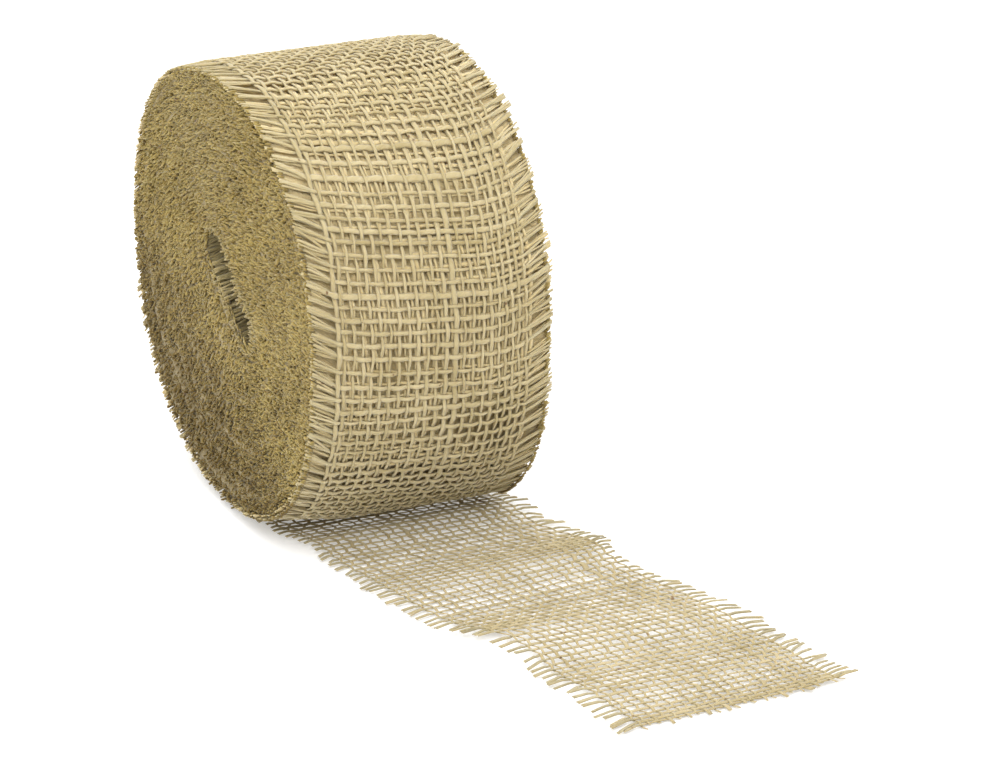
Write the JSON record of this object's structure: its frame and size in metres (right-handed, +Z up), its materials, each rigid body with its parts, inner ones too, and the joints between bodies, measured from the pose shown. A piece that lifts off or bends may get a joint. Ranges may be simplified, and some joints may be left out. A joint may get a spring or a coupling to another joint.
{
  "type": "ribbon roll",
  "caption": "Coreless roll of open-weave jute ribbon with fringed edges, standing on its rim with a loose tail laid out flat in front.",
  "frame": {"origin": "the point of the table under the roll's axis, halfway along it, on the underside of the laid ribbon", "axes": "+Y along the roll's axis, +X along the table towards the cut end of the tail, +Z up"},
  "size_m": [0.2001, 0.0923, 0.1097],
  "materials": {
    "jute_yarn": "natural jute yarn, matt, slightly hairy",
    "jute_turns": "packed turns of jute cloth, matt, in shade",
    "jute_ends": "mat of cut yarn ends, matt and fuzzy"
  },
  "bodies": {
    "laid_ribbon": {"laid_warp": "jute_yarn", "laid_picks": "jute_yarn"},
    "roll": {"top_warp": "jute_yarn", "top_picks": "jute_yarn", "second_warp": "jute_yarn", "second_picks": "jute_yarn", "outer_turns": "jute_turns", "middle_turns": "jute_turns", "inner_turns": "jute_turns", "core_turns": "jute_turns", "inner_end": "jute_turns", "near_fringe": "jute_ends", "far_fringe": "jute_ends"},
    "free_end": {"end_warp": "jute_yarn", "end_picks": "jute_yarn"}
  },
  "joints": [
    {"name": "roll_turns", "type": "hinge", "parent": "laid_ribbon", "child": "roll", "pos_m": [0, 0, 0.05572], "axis": [0, -1, 0], "continuous": true},
    {"name": "free_end_lift", "type": "hinge", "parent": "laid_ribbon", "child": "free_end", "pos_m": [0.104, 0, 0.0007], "axis": [0, -1, 0], "range_deg": [0, 90]}
  ]
}
